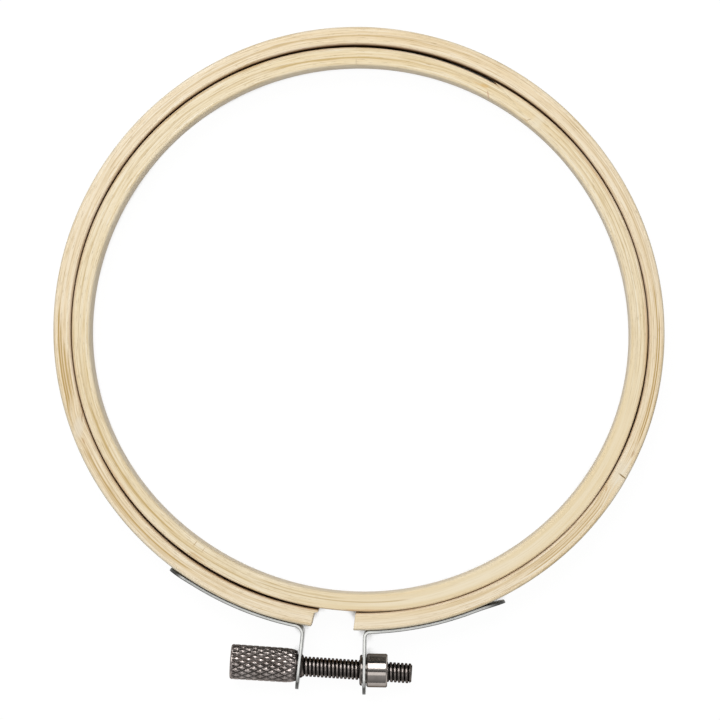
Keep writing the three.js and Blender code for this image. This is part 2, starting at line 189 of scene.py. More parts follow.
# Steps of the meshes: the rings' sections and length, the strips' sections and course, and the turned
# pieces
WALL_STEPS = 24
HEIGHT_STEPS = 8
CORNER_STEPS = 5
EDGE_STEPS = 4
HALF_RING_STEPS = 360
STRIP_SECTION_STEPS = (3, 10)
STRIP_END_STEPS = 26
STRIP_STEP = 0.16 * MM
COURSE_POINTS = {"wrap": 400, "bend": 80, "ear": 60}
HEAD_STEP = 0.095 * MM
HEAD_END_STEPS = 12
HEAD_EDGE_STEPS = 9
SHOULDER_STEPS = 24
NECK_STEPS = 8
KNURL_COLUMNS = 14  # for each start
THREAD_ROWS = 14  # for each pitch
THREAD_COLUMNS = 96
NUT_COLUMNS = 128
NAIL_COLUMNS = 40
NAIL_DOME_STEPS = 10
PEEN_STEPS = 7
HOLE_COLUMNS = 48
SHARP_EDGE = 40.0  # degrees, past which an edge isn't shaded smooth
GROOVED_SHARP_EDGE = 70.0
BAMBOO_SHARP_EDGE = 50.0
NUT_SHARP_EDGE = 20.0
NUT_BEVEL_FROM = 25.0
WELD = 0.1e-3 * MM

# Camera: above, a little to one side of the middle, turned a little. The scale is that of the upper face
PICTURE_WIDTH = 147.27 * MM
CAMERA_HEIGHT = 850 * MM
CAMERA_ROLL = math.radians(3.74)
CAMERA_OVER = (20 * MM, 4 * MM)
LOOKS_AT = (0.74 * MM, 0.28 * MM)
SENSOR_WIDTH = 36.0  # the camera's sensor and lens are in millimetres

# Light: a sky with a dark spot where the camera would stand, and two lamps one metre away. towards is the
# direction that a lamp stands in, seen from above
SKY_AT_HORIZON = 0.22
SKY_OVERHEAD = 0.6
SKY_FAR_SIDE = 0.2  # share of the sky's light that is left on the side away from the clamp
SKY_FAR_SIDE_FROM, SKY_FAR_SIDE_TO = 0.2, 0.85  # how far that way the light's direction leans, as a share
DARK_SPOT = math.radians(8)
LAMPS = [
    {"size": (0.75, 0.6), "brightness": 4.9, "off_zenith": math.radians(32), "towards": math.radians(110)},
    {"size": (0.75, 0.34), "brightness": 0.9, "off_zenith": math.radians(21), "towards": math.radians(285)},
]

# Floor: how brightly it is seen, and how narrow a place round it turns it dark with painted shade
FLOOR_HALF = 4.0
FLOOR_DROP = 0.02 * MM
FLOOR_GLOW = 1.03
FLOOR_GLOW_SHARE = 0.93
SHADE_REACH = 3 * MM
SHADE_FROM, SHADE_TO = 0.37, 0.46  # shares of the open sky at which it is dark and bright

MIDDLE = RING_HEIGHT / 2
BORE_RADIUS = OUTER_RADIUS - OUTER_WALL
INNER_BORE_RADIUS = INNER_RADIUS - INNER_WALL


def wave_sum(waves, angle):
    """Sum of waves round the ring, each of a number of crests, a height and one crest's angle."""
    return sum(height * np.cos(crests * (angle - at)) for crests, height, at in waves)


def rounding(angle):
    """How far the bamboo stands out from a true circle."""
    return wave_sum(RING_WAVES, angle)


RING_TOP = max((OUTER_RADIUS + rounding(a)) * math.sin(a) for a in np.linspace(1, 2, 2001))
RING_CENTRE = np.array([0.0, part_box("outer_ring")[1].y - RING_TOP])
SPLIT_AT = -math.pi / 2 + math.asin(CLAMP_X / BORE_RADIUS)


def ring_point(radius, angle):
    """Point of the oval outline of that mean radius, as an array whose last axis is (x, y)."""
    r = radius + rounding(angle)
    return RING_CENTRE + np.stack([r * np.cos(angle), r * np.sin(angle)], axis=-1)


def ring_normal(angle):
    """Direction square to the outer ring's outside, away from the ring: the outline's slope turned a
    quarter."""
    r = OUTER_RADIUS + rounding(angle)
    slope = -sum(crests * height * np.sin(crests * (angle - at)) for crests, height, at in RING_WAVES)
    x = r * np.cos(angle) + slope * np.sin(angle)
    y = r * np.sin(angle) - slope * np.cos(angle)
    return np.stack([x, y], axis=-1) / np.hypot(x, y)[..., None]


SCREW_Y = ring_point(OUTER_RADIUS, SPLIT_AT)[1] - SCREW_FROM_RING


def linear(hex_colour):
    """An sRGB hex colour as linear red, green, blue and alpha."""
    channels = [int(hex_colour[i:i + 2], 16) / 255 for i in (1, 3, 5)]
    return tuple(c / 12.92 if c <= 0.04045 else ((c + 0.055) / 1.055) ** 2.4 for c in channels) + (1.0,)


def quads(rows, columns, close_rows=False, close_columns=False):
    """Faces between neighbours on a grid of points that are numbered row by row."""
    row = np.arange(rows if close_rows else rows - 1)[:, None]
    column = np.arange(columns if close_columns else columns - 1)[None, :]
    next_row = (row + 1) % rows
    next_column = (column + 1) % columns
    corners = [row * columns + column, next_row * columns + column,
               next_row * columns + next_column, row * columns + next_column]
    return np.stack(corners, axis=-1).reshape(-1, 4)


def make_piece(name, points, faces, material, weld=0.0, sharp=SHARP_EDGE, fields=None):
    """A mesh object of the points and faces, shaded smooth but for edges sharper than sharp degrees.
    Points nearer than the weld distance become one. fields are numbers or vectors kept with each
    point."""
    mesh = bpy.data.meshes.new(name)
    mesh.from_pydata(points.reshape(-1, 3), [], faces.tolist())
    for field, values in (fields or {}).items():
        kind, part = ("FLOAT_VECTOR", "vector") if values.ndim == 2 else ("FLOAT", "value")
        attribute = mesh.attributes.new(field, kind, "POINT")
        attribute.data.foreach_set(part, values.astype(np.float32).ravel())
    form = bmesh.new()
    form.from_mesh(mesh)
    if weld:
        bmesh.ops.remove_doubles(form, verts=form.verts, dist=weld)
        bmesh.ops.dissolve_degenerate(form, edges=form.edges, dist=weld)
    bmesh.ops.recalc_face_normals(form, faces=form.faces)
    form.to_mesh(mesh)
    form.free()
    mesh.shade_smooth()
    mesh.set_sharp_from_angle(angle=math.radians(sharp))
    mesh.materials.append(material)
    piece = bpy.data.objects.new(name, mesh)
    bpy.context.scene.collection.objects.link(piece)
    return piece


def grid_lines(length, first_corner, last_corner, between):
    """Places of the grid's lines across one side of a section: each corner's half arc in equal angles,
    and even steps between the two corners."""
    arc = 1 - np.tan(np.linspace(math.pi / 4, 0, CORNER_STEPS + 1))
    middle = np.linspace(first_corner, length - last_corner, between + 1)[1:-1]
    return np.concatenate([first_corner * arc, middle, length - last_corner * arc[::-1]])


def round_corners(a, b, width, height, corner, inset):
    """A rectangle's grid points with its corners rounded and its outline drawn in by the inset. A point
    is parted into the nearest point of the rectangle's core, one corner radius inside, and an offset from
    it. The offset is shortened to its longer side, which turns the square corner into an arc. corner is
    one radius for all the points, or one for each."""
    core_a = np.clip(a, corner, width - corner)
    core_b = np.clip(b, corner, height - corner)
    off_a = a - core_a
    off_b = b - core_b
    size = np.hypot(off_a, off_b)
    longer = np.maximum(np.abs(off_a), np.abs(off_b))
    share = np.divide(longer, size, out=np.ones_like(size), where=size > 0) * (1 - inset / corner)
    return core_a + off_a * share, core_b + off_b * share


def rim_of(rows, columns):
    """Row and column of each point on a grid's rim, in order round it."""
    row = np.concatenate([np.zeros(columns - 1, int), np.arange(rows - 1),
                          np.full(columns - 1, rows - 1), np.arange(rows - 1, 0, -1)])
    column = np.concatenate([np.arange(columns - 1), np.full(rows - 1, columns - 1),
                             np.arange(columns - 1, 0, -1), np.zeros(rows - 1, int)])
    return row, column


def bent_strip(name, start, end, bore, outside, wall, corners, edges, steps, material):
    """A bamboo strip bent round the ring, with a rounded rectangle as its section. A point's angle goes
    evenly from the start face to the end face, and its radius evenly through the wall from the bore to
    the outside. start and end give each end face's angle by the place in the wall, from 0 at the bore to
    1 outside. bore and outside give the radius of the two faces by the angle. corners gives the rounding
    along the bore's edges and the outside's, and edges that of the start face's and the end face's. Each
    point keeps its length along the grain, place in the wall and height in the field "grain"."""
    a_line = grid_lines(wall, *corners, WALL_STEPS)
    b_line = grid_lines(RING_HEIGHT, max(corners), max(corners), HEIGHT_STEPS)
    b_grid, a_grid = np.meshgrid(b_line, a_line, indexing="ij")
    rim_row, rim_column = rim_of(*a_grid.shape)
    turn = np.linspace(0, math.pi / 2, EDGE_STEPS)
    run = abs(float(end(0.5) - start(0.5))) * OUTER_RADIUS
    into = 1 - np.cos(turn)
    even = np.linspace(edges[0], run - edges[1], steps)[1:-1]
    station = np.concatenate([edges[0] * into, even, run - edges[1] * into[::-1]]) / run
    inset = np.zeros(len(station))
    inset[:EDGE_STEPS] = edges[0] * (1 - np.sin(turn))
    inset[-EDGE_STEPS:] = edges[1] * (1 - np.sin(turn[::-1]))

    def place(a, b, v, inset_by):
        """The section's point (a, b) at the share v of the strip's length, and its place in the grain."""
        corner = np.where(a < wall / 2, *corners)
        a, b = round_corners(a, b, wall, RING_HEIGHT, corner, inset_by)
        share = a / wall
        angle = start(share) + (end(share) - start(share)) * v
        radius = bore(angle) + (outside(angle) - bore(angle)) * share
        x = RING_CENTRE[0] + radius * np.cos(angle)
        y = RING_CENTRE[1] + radius * np.sin(angle)
        return np.stack([x, y, b], axis=-1), np.stack([angle * GRAIN_RADIUS, a, b], axis=-1)

    side, side_grain = place(a_grid[rim_row, rim_column][None], b_grid[rim_row, rim_column][None],
                             station[:, None], inset[:, None])
    rows, rim = side.shape[:2]
    points = [side.reshape(-1, 3)]
    grain = [side_grain.reshape(-1, 3)]
    faces = [quads(rows, rim, close_columns=True)]
    count = rows * rim
    for row in (0, rows - 1):
        cap, cap_grain = place(a_grid, b_grid, station[row], inset[row])
        number = np.empty(a_grid.shape, int)
        number[rim_row, rim_column] = row * rim + np.arange(rim)
        inside = number[1:-1, 1:-1]
        number[1:-1, 1:-1] = count + np.arange(inside.size).reshape(inside.shape)
        count += inside.size
        points.append(cap[1:-1, 1:-1].reshape(-1, 3))
        grain.append(cap_grain[1:-1, 1:-1].reshape(-1, 3))
        faces.append(number.ravel()[quads(*number.shape)])
    fields = {"grain": np.concatenate(grain)}
    return make_piece(name, np.concatenate(points), np.concatenate(faces), material,
                      sharp=BAMBOO_SHARP_EDGE, fields=fields)


def planed(angle):
    """Slight waves of the planed face outside: the mean of three sine waves round the ring, the finer the
    lower."""
    waves = [np.sin(n * angle + PLANED_START * n) / k for k, n in enumerate(PLANED_CRESTS, start=1)]
    return PLANED_WAVE * sum(waves) / len(waves)


def ring_gap(angle):
    """Width of the gap between the rings: a mean with waves, less a bell curve at each contact."""
    narrower = sum(depth * np.exp(-((1 - np.cos(angle - at)) / (1 - math.cos(CONTACT_SPREAD))))
                   for at, depth in CONTACTS)
    return GAP_MEAN + wave_sum(GAP_WAVES, angle) - narrower


def step_down(share, at, width):
    """1 below a place in the wall and 0 above it, with a smooth fall between."""
    t = np.clip((share - at) / width, 0, 1)
    return 1 - t * t * (3 - 2 * t)


def outer_bore(angle):
    """Radius of the outer ring's bore."""
    return BORE_RADIUS + rounding(angle) + wave_sum(BORE_WAVES, angle)


def make_outer_ring(material):
    """The split ring, in two halves that meet at the top. The right half stays with the nut's side. The
    left half runs from the seam at the top to the left sawn face, and is kept in place, joined to no body."""
    right_lean = math.tan(STRIPS["right"]["lean"]) * OUTER_WALL / OUTER_RADIUS
    left_lean = math.tan(STRIPS["left"]["lean"]) * OUTER_WALL / OUTER_RADIUS
    right_end = -math.pi / 2 + math.asin((CLAMP_X + SPLIT_WIDTH / 2) / BORE_RADIUS)
    left_end = 1.5 * math.pi + math.asin((CLAMP_X - SPLIT_WIDTH / 2) / BORE_RADIUS)
    lip = LIP_LENGTH / BORE_RADIUS

    def outside(angle):
        """Radius of the outside: the ring's outline, less the height of the planed face's waves."""
        return OUTER_RADIUS + rounding(angle) - np.abs(planed(angle))

    def at_seam(share):
        """Angle of the seam, the same through the whole wall."""
        return SEAM + 0 * share

    def right_face(share):
        """Angle of the right sawn face, which falls evenly from the bore to the outside."""
        return right_end - right_lean * share

    def left_face(share):
        """Angle of the left sawn face: the same, with the sliver's length added next to the bore."""
        return left_end - left_lean * share + lip * step_down(share, LIP_THICKNESS / OUTER_WALL, LIP_ROOT)

    right = bent_strip("outer_ring_right", right_face, at_seam, outer_bore, outside, OUTER_WALL,
                       OUTER_RING_EDGES, (SAWN_EDGE, SEAM_EDGE), HALF_RING_STEPS, material)
    left = bent_strip("outer_ring_left", at_seam, left_face, outer_bore, outside, OUTER_WALL,
                      OUTER_RING_EDGES, (SEAM_EDGE, SAWN_EDGE), HALF_RING_STEPS, material)
    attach(right, "outer")
    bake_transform(left)
    for half in (right, left):
        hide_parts("outer_ring")


def make_inner_ring(material):
    """One strip bent full circle. Its two ends meet in a scarf joint that runs aslant through the wall.
    The end that lies below in the joint is a little further in, which leaves a step outside."""

    def end(share):
        """Angle of the joint at the strip's last end, which rises evenly from the bore to the outside."""
        return SCARF_INSIDE + (SCARF_OUTSIDE - SCARF_INSIDE) * share + 2 * math.pi

    def start(share):
        """Angle of its first end: the same slope, at a share made smaller by the step."""
        return end((1 - SCARF_STEP / INNER_WALL) * share) - 2 * math.pi

    def outside(angle):
        """Radius of the outside: the outer ring's bore less the gap and the step. Past the joint the step
        fades as an exponential."""
        step = SCARF_STEP * np.exp(np.minimum((SCARF_OUTSIDE - angle) / SCARF_STEP_FADE, 0))
        return outer_bore(angle) - ring_gap(angle) - step

    def bore(angle):
        """Radius of the bore: its mean, with the waves of the ring's outline and its own."""
        return INNER_BORE_RADIUS + rounding(angle) + wave_sum(INNER_BORE_WAVES, angle)

    ring = bent_strip("inner_ring_strip", start, end, bore, outside, INNER_WALL,
                      INNER_RING_EDGES, (SCARF_EDGE, SCARF_EDGE), 2 * HALF_RING_STEPS, material)
    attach(ring, "inner_ring")
    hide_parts("inner_ring")


def bend_of(strip):
    """Where a strip leaves the ring: its bend touches the strip's course round the ring and the ear's
    plane. The angle is found by halving a sixth of a turn, from the split on, until nothing is left to
    halve."""
    side = strip["side"]
    reach = STRIP_THICKNESS + strip["bend_radius"]
    ear_at = np.array([CLAMP_X + side * EAR_SPACING / 2, SCREW_Y])
    ear_out = np.array([side * math.cos(strip["splay"]), math.sin(strip["splay"])])
    ear_down = np.array([side * math.sin(strip["splay"]), -math.cos(strip["splay"])])
    near, far = SPLIT_AT, SPLIT_AT + side * math.pi / 3
    for _ in range(50):
        middle = (near + far) / 2
        centre = ring_point(OUTER_RADIUS, middle) + ring_normal(np.array(middle)) * (STRIP_SEAT + reach)
        if (centre - ear_at) @ ear_out > reach:
            far = middle
        else:
            near = middle
    return {"angle": near, "centre": centre, "ear_at": ear_at, "ear_out": ear_out, "ear_down": ear_down}


def nail_angles(strip):
    """Angles of a strip's nails round the ring, a set length along it from the bend."""
    angle = bend_of(strip)["angle"]
    return [angle + strip["side"] * distance / OUTER_RADIUS for distance in NAILS_FROM_BEND]


def strip_course(strip):
    """Middle line of a strip from its free tip to the ear's end, and the direction from its inner face to
    its outer one: round the ring, through the bend's arc, straight down the ear."""
    side = strip["side"]
    bend = bend_of(strip)
    along = np.linspace(STRIP_ON_RING, 0, COURSE_POINTS["wrap"])
    angle = bend["angle"] + side * along / OUTER_RADIUS
    into_tip = np.clip(along - (STRIP_ON_RING - STRIP_TIP_LENGTH), 0, None) / STRIP_TIP_LENGTH
    lift = STRIP_SEAT + strip["tip_lift"] * into_tip ** 2 + STRIP_THICKNESS / 2
    wrap_way = ring_normal(angle)
    wrap = ring_point(OUTER_RADIUS, angle) + wrap_way * lift[:, None]

    start = -wrap_way[-1]
    sweep = math.pi - math.acos(start @ bend["ear_out"])
    turn = side * np.linspace(0, sweep, COURSE_POINTS["bend"])[1:]
    spoke = np.stack([start[0] * np.cos(turn) - start[1] * np.sin(turn),
                      start[0] * np.sin(turn) + start[1] * np.cos(turn)], axis=-1)
    arc = bend["centre"] + spoke * (strip["bend_radius"] + STRIP_THICKNESS / 2)

    tip = bend["ear_at"] + bend["ear_down"] * strip["beyond_screw"] + bend["ear_out"] * STRIP_THICKNESS / 2
    share = np.linspace(0, 1, COURSE_POINTS["ear"])[1:, None]
    ear = arc[-1] + (tip - arc[-1]) * share
    ear_way = np.broadcast_to(bend["ear_out"], ear.shape)
    return np.concatenate([wrap, arc, ear]), np.concatenate([wrap_way, -spoke, ear_way])


def standing(points, origin, out):
    """Points drawn with X along the given level direction and Z up, moved to the origin."""
    x_axis = np.array([out[0], out[1], 0])
    y_axis = np.array([-out[1], out[0], 0])
    level = points[..., 0:1] * x_axis + points[..., 1:2] * y_axis
    return np.array([origin[0], origin[1], MIDDLE]) + level + points[..., 2:3] * np.array([0, 0, 1])


def turned_points(x, radius, columns, closed_profile=False):
    """A surface turned about the X axis: each row of the grid is a circle of its radius at its x. x and
    radius hold one value a row, or one for each of the columns round the axis."""
    round_axis = np.linspace(0, 2 * math.pi, columns, endpoint=False)[None, :]
    x = np.broadcast_to(x.reshape(len(x), -1), (len(x), columns))
    radius = np.broadcast_to(radius.reshape(len(radius), -1), (len(radius), columns))
    points = np.stack([x, radius * np.cos(round_axis), radius * np.sin(round_axis)], axis=-1)
    return points, quads(len(x), columns, close_rows=closed_profile, close_columns=True)


def cut_holes(piece, cutters):
    """Cuts each cutter's solid out of the piece and removes the cutter."""
    for cutter in cutters:
        cut = piece.modifiers.new("cut", "BOOLEAN")
        cut.operation = "DIFFERENCE"
        cut.solver = "EXACT"
        cut.object = cutter
    depsgraph = bpy.context.evaluated_depsgraph_get()
    mesh = bpy.data.meshes.new_from_object(piece.evaluated_get(depsgraph))
    piece.modifiers.clear()
    piece.data = mesh
    mesh.set_sharp_from_angle(angle=math.radians(SHARP_EDGE))
    for cutter in cutters:
        bpy.data.objects.remove(cutter)


def rod(radius, start, end, origin, out, material):
    """A round rod along a level direction, used to cut a hole."""
    x = np.array([start, start, end, end])
    points, faces = turned_points(x, np.array([0, radius, radius, 0]), HOLE_COLUMNS)
    return make_piece("hole_cutter", standing(points, origin, out), faces, material, weld=WELD)


def make_bracket(side_name, hole_radius, body, material):
    """A steel strip: a rounded rectangle carried along its course, narrowed to a half circle at both
    ends. The holes for the screw or nut and for the nails are cut through it."""
    strip = STRIPS[side_name]
    course, way = strip_course(strip)
    length = np.concatenate([[0], np.cumsum(np.hypot(*np.diff(course, axis=0).T))])
    half = STRIP_WIDTH / 2
    round_end = half * (1 - np.cos(np.linspace(0, math.pi / 2, STRIP_END_STEPS)))
    straight = np.arange(half, length[-1] - half, STRIP_STEP)[1:]
    station = np.concatenate([round_end, straight, length[-1] - round_end[::-1]])
    from_end = np.minimum(station, length[-1] - station)
    width = np.sqrt(np.clip(half ** 2 - np.clip(half - from_end, 0, None) ** 2, 0, None)) / half
    drawn_in = np.sqrt(1 - np.clip(1 - from_end / STRIP_EDGE, 0, 1) ** 2)
    thick = 1 - (1 - drawn_in) * 2 * STRIP_EDGE / STRIP_THICKNESS

    line = np.stack([np.interp(station, length, course[:, i]) for i in (0, 1)], axis=-1)
    across = np.stack([np.interp(station, length, way[:, i]) for i in (0, 1)], axis=-1)
    a_line = grid_lines(STRIP_THICKNESS, STRIP_EDGE, STRIP_EDGE, STRIP_SECTION_STEPS[0])
    b_line = grid_lines(STRIP_WIDTH, STRIP_EDGE, STRIP_EDGE, STRIP_SECTION_STEPS[1])
    b_grid, a_grid = np.meshgrid(b_line, a_line, indexing="ij")
    rim_row, rim_column = rim_of(*a_grid.shape)
    a, b = round_corners(a_grid[rim_row, rim_column], b_grid[rim_row, rim_column],
                         STRIP_THICKNESS, STRIP_WIDTH, STRIP_EDGE, 0)
    off = (a - STRIP_THICKNESS / 2)[None, :, None] * thick[:, None, None]
    level = line[:, None, :] + across[:, None, :] * off
    height = MIDDLE + (b - STRIP_WIDTH / 2)[None, :] * width[:, None]
    points = np.concatenate([level, height[..., None]], axis=-1)
    faces = quads(len(station), len(a), close_columns=True)
    # Painted shade on the strip's edges: darkest at the tips, and across each edge towards both faces. The
    # broad faces only get a darker tone of the metal
    unshaded_along = np.minimum(np.interp(station, list(STRIP_UNSHADED), list(STRIP_UNSHADED.values())),
                       np.interp(length[-1] - station, list(EAR_UNSHADED), list(EAR_UNSHADED.values())))
    past_edges = np.minimum(b, STRIP_WIDTH - b) > 1.01 * STRIP_EDGE
    edge_unshaded = unshaded_along[:, None] * (1 - np.abs(2 * a / STRIP_THICKNESS - 1))
    tone_and_painted_shade = np.where(past_edges, BROAD_FACE_SHINE, edge_unshaded)
    bracket = make_piece(f"{side_name}_strip", points, faces, material, weld=WELD,
                         fields={"tone_and_painted_shade": tone_and_painted_shade.ravel()})

    bend = bend_of(strip)
    through = 3 * STRIP_THICKNESS
    cutters = [rod(hole_radius, -through, through, bend["ear_at"], bend["ear_out"], material)]
    for angle in nail_angles(strip):
        at, out = ring_point(OUTER_RADIUS, angle), ring_normal(np.array(angle))
        cutters.append(rod(NAIL_HOLE_RADIUS, -STRIP_THICKNESS, through, at, out, material))
    cut_holes(bracket, cutters)
    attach(bracket, body)
    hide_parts(f"{side_name}_bracket")


def make_nails(side_name, body, material):
    """Wire nails through a strip into the ring: a point, a plain shank and a low domed head."""
    under = STRIP_SEAT + STRIP_THICKNESS + NAIL_HEAD_SEAT
    dome = np.linspace(0, math.pi / 2, NAIL_DOME_STEPS)
    x = np.concatenate([
        [-NAIL_DEPTH, -NAIL_DEPTH + NAIL_POINT, under - NAIL_FLARE_LENGTH, under, under],
        under + NAIL_RIM_HEIGHT + (NAIL_HEAD_HEIGHT - NAIL_RIM_HEIGHT) * np.sin(dome),
    ])
    radius = np.concatenate([
        [0, NAIL_RADIUS, NAIL_RADIUS, NAIL_RADIUS + NAIL_FLARE, NAIL_HEAD_RADIUS * NAIL_HEAD_TAPER],
        NAIL_HEAD_RADIUS * np.cos(dome),
    ])
    points, faces = turned_points(x, radius, NAIL_COLUMNS)
    for i, angle in enumerate(nail_angles(STRIPS[side_name]), start=1):
        at, out = ring_point(OUTER_RADIUS, angle), ring_normal(np.array(angle))
        nail = make_piece(f"{side_name}_nail_{i}_wire", standing(points, at, out), faces, material,
                          weld=WELD)
        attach(nail, body)
        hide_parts(f"{side_name}_nail_{i}")


def triangle_wave(turns):
    """0 at each whole turn, 1 half way between."""
    return 1 - np.abs(2 * (turns % 1) - 1)


SCREW_ORIGIN = (CLAMP_X - EAR_SPACING / 2 - STRIP_THICKNESS, SCREW_Y)


def make_screw_head(material):
    """The knurled head: a turned profile with two families of V grooves pressed in, which wind round it
    in opposite hands. The height left at a point is the lesser of the two families' waves, cut flat near
    the top. That height sets painted shade in the grooves, kept in a point field. A plain collar next to
    the ear has no grooves, and is darkened all over with painted shade."""
    shoulder = -SHOULDER_SEAT
    end = shoulder - HEAD_LENGTH
    knurl_end = shoulder - COLLAR_LENGTH
    fall = SHOULDER_LENGTH - COLLAR_LENGTH
    across_end = np.linspace(0, 1, HEAD_END_STEPS)
    edge = np.linspace(0, math.pi / 2, HEAD_EDGE_STEPS)
    body_x = np.arange(end + HEAD_CROWN + HEAD_EDGE, shoulder - SHOULDER_LENGTH, HEAD_STEP)
    taper = (body_x - end) / (HEAD_LENGTH - SHOULDER_LENGTH)
    into_shoulder = np.linspace(0, 1, SHOULDER_STEPS)
    x = np.concatenate([
        end + HEAD_CROWN * across_end,
        end + HEAD_CROWN + HEAD_EDGE * (1 - np.cos(edge[1:])),
        body_x[1:],
        knurl_end - fall * (1 - into_shoulder),
        [knurl_end, shoulder - COLLAR_CHAMFER, shoulder, shoulder],
    ])
    radius = np.concatenate([
        (HEAD_END_RADIUS - HEAD_EDGE) * across_end,
        HEAD_END_RADIUS - HEAD_EDGE * (1 - np.sin(edge[1:])),
        HEAD_END_RADIUS + (HEAD_RADIUS - HEAD_END_RADIUS) * taper[1:],
        HEAD_RADIUS - (HEAD_RADIUS - SHOULDER_RADIUS) * into_shoulder ** SHOULDER_CURVE,
        [COLLAR_RADIUS, COLLAR_RADIUS, COLLAR_RADIUS - COLLAR_CHAMFER, 0],
    ])
    columns = KNURL_STARTS * KNURL_COLUMNS
    turn = KNURL_STARTS * np.linspace(0, 1, columns, endpoint=False)[None, :]
    ahead = x[:, None] / KNURL_DIAMOND
    left = np.minimum(triangle_wave(turn + ahead), triangle_wave(turn - ahead))
    height = np.minimum(left / KNURL_FLAT, 1)
    fade_in = np.clip((x - end - HEAD_CROWN) / KNURL_FADE, 0, 1)
    fade_out = 1 - (1 - KNURL_AT_SHOULDER) * np.clip((x - shoulder + SHOULDER_LENGTH) / fall, 0, 1)
    on_knurl = radius > SHOULDER_RADIUS - 0.01 * MM
    pressed = (fade_in * fade_out * on_knurl)[:, None]
    cut = KNURL_DEPTH * pressed * (1 - height)
    points, faces = turned_points(x, radius[:, None] - cut, columns)
    # Painted shade: the grooves get the low colour by their depth, and the collar next to the ear all over
    on_collar = x > knurl_end - COLLAR_SHADE_AHEAD
    tone_and_painted_shade = (1 - pressed * (1 - height)) * np.where(on_collar, COLLAR_UNSHADED, 1)[:, None]
    head = make_piece("thumb_screw_head", standing(points, SCREW_ORIGIN, (1, 0)), faces, material,
                      weld=WELD, sharp=GROOVED_SHARP_EDGE, fields={"tone_and_painted_shade": tone_and_painted_shade.ravel()})
    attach(head, "thumb_screw")
    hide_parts("thumb_screw")


def make_screw_shank(material):
    """Neck, cone, thread and chamfered tail. The thread is a right-hand helix: its height depends on the
    distance along the screw less one pitch for each turn round it, as a V with a flat crest and root. On
    the cone it deepens by degrees. How high a point lies on it sets painted shade, darkest at the roots,
    and the neck and cone get more painted shade; this is kept in a point field, which also tones the
    thread down."""
    shoulder = -SHOULDER_SEAT
    neck_end = STRIP_THICKNESS + NECK_PAST_EAR
    nut_end = 2 * STRIP_THICKNESS + EAR_SPACING + NUT_SEAT + NUT_LENGTH
    tail = nut_end + TAIL_LENGTH
    thread_x = np.arange(neck_end + NECK_CONE, tail, THREAD_PITCH / THREAD_ROWS)
    x = np.concatenate([
        [shoulder, shoulder], np.linspace(shoulder, neck_end, NECK_STEPS)[1:],
        neck_end + NECK_CONE * np.linspace(0, 1, NECK_STEPS)[1:-1], thread_x, [tail, tail],
    ])
    envelope = np.interp(x, [neck_end, neck_end + NECK_CONE, tail - TAIL_CHAMFER, tail],
                         [NECK_RADIUS, THREAD_RADIUS, THREAD_RADIUS, THREAD_RADIUS - TAIL_CHAMFER])
    envelope[0] = 0
    envelope[-1] = 0
    turn = np.linspace(0, 1, THREAD_COLUMNS, endpoint=False)[None, :]
    wave = triangle_wave(x[:, None] / THREAD_PITCH - turn)
    depth = np.clip((wave - THREAD_CREST) / (1 - THREAD_CREST - THREAD_ROOT), 0, 1)
    begun = np.clip((x - neck_end) / NECK_CONE, 0, 1)[:, None]
    root_radius = THREAD_RADIUS - THREAD_DEPTH * depth
    core = np.where(begun < 1, THREAD_RADIUS + (root_radius - THREAD_RADIUS) * begun ** 3, root_radius)
    blank = envelope[:, None]
    cut = np.minimum(blank, core + (blank - THREAD_RADIUS).clip(0))
    radius = np.where(x[:, None] <= neck_end, blank, cut)
    # Painted shade: darker on the neck and cone, and in the thread's roots
    start_unshaded = THREAD_START_UNSHADED + (1 - THREAD_START_UNSHADED) * begun
    tone_and_painted_shade = THREAD_SHINE * start_unshaded * (1 - depth * begun) ** 2
    points, faces = turned_points(x, radius, THREAD_COLUMNS)
    shank = make_piece("thumb_screw_shank", standing(points, SCREW_ORIGIN, (1, 0)), faces, material,
                       weld=WELD, sharp=GROOVED_SHARP_EDGE, fields={"tone_and_painted_shade": tone_and_painted_shade.ravel()})
    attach(shank, "thumb_screw")
    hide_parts("thumb_screw")


def make_nut(material):
    """The round nut in the right ear: a closed profile turned about the ear's own axis. It has a peened
    flange, a spigot through the ear, a barrel with chamfered rims and the bore. The flange is darkened
    with painted shade, in a point field."""
    face = STRIP_THICKNESS / 2 + NUT_SEAT
    end = face + NUT_LENGTH
    stake_end = -face - STAKE_THICKNESS
    dome = np.linspace(0, math.pi / 2, PEEN_STEPS)
    peened = np.stack([stake_end + PEEN_ROUND * (1 - np.sin(dome)),
                       STAKE_RADIUS - PEEN_ROUND * (1 - np.cos(dome))], axis=-1)[::-1]
    profile = np.array([
        (stake_end, NUT_BORE_RADIUS),
        *peened,
        (-face, STAKE_RADIUS),
        (-face, SPIGOT_RADIUS),
        (face, SPIGOT_RADIUS),
        (face, NUT_RADIUS - NUT_CHAMFER),
        (face + NUT_CHAMFER, NUT_RADIUS),
        (end - NUT_CHAMFER, NUT_RADIUS),
        (end, NUT_RADIUS - NUT_CHAMFER),
        (end, NUT_BORE_RADIUS),
    ])
    points, faces = turned_points(profile[:, 0], profile[:, 1], NUT_COLUMNS, closed_profile=True)
    bend = bend_of(STRIPS["right"])
    origin = bend["ear_at"] + bend["ear_out"] * STRIP_THICKNESS / 2
    # Painted shade on the flange
    tone_and_painted_shade = np.where(profile[:, 0] <= -face, STAKE_UNSHADED, 1.0).repeat(NUT_COLUMNS)
    nut = make_piece("barrel_nut_body", standing(points, origin, bend["ear_out"]), faces, material,
                     sharp=NUT_SHARP_EDGE, fields={"tone_and_painted_shade": tone_and_painted_shade})
    bevel = nut.modifiers.new("edges", "BEVEL")
    bevel.width = NUT_EDGE
    bevel.segments = 2
    bevel.limit_method = "ANGLE"
    bevel.angle_limit = math.radians(NUT_BEVEL_FROM)
    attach(nut, "outer")
    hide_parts("barrel_nut")


